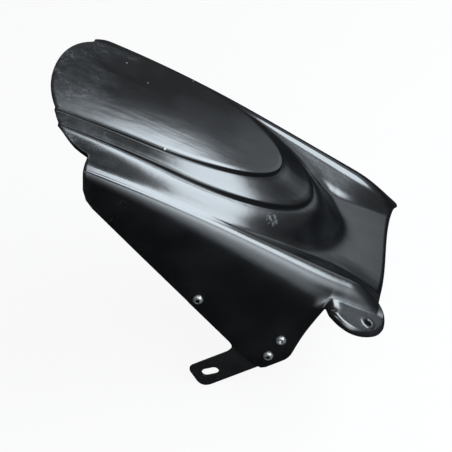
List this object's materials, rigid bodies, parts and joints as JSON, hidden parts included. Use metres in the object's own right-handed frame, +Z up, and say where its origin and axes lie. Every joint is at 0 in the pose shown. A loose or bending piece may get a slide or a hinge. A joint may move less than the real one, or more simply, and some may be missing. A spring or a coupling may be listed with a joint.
{
  "type": "motorcycle mudguard",
  "caption": "Moulded gloss-black rear mudguard with a stepped oval crown, rolled side rails, a deep skirt, a front fixing ear and a slotted steel bracket screwed to the skirt.",
  "frame": {"origin": "centre of the front ear's hole, on the top face of its raised ring", "axes": "+X forward along the motorcycle, +Y to its left, +Z up; the panel slopes nose down by 31 degrees, as fitted"},
  "size_m": [0.3511, 0.266, 0.3181],
  "materials": {
    "panel": "moulded gloss black, dusty and finely scratched",
    "bracket": "satin black paint",
    "screw": "bright stainless",
    "washer": "plain stainless",
    "nut": "plain stainless"
  },
  "bodies": {
    "root": {"mudguard_shell": "panel", "bracket_plate": "bracket", "screw_rear": "screw", "screw_upper": "screw", "screw_lower": "screw", "washer_rear": "washer", "washer_upper": "washer", "washer_lower": "washer", "nut_rear": "nut", "nut_upper": "nut", "nut_lower": "nut"}
  },
  "joints": []
}
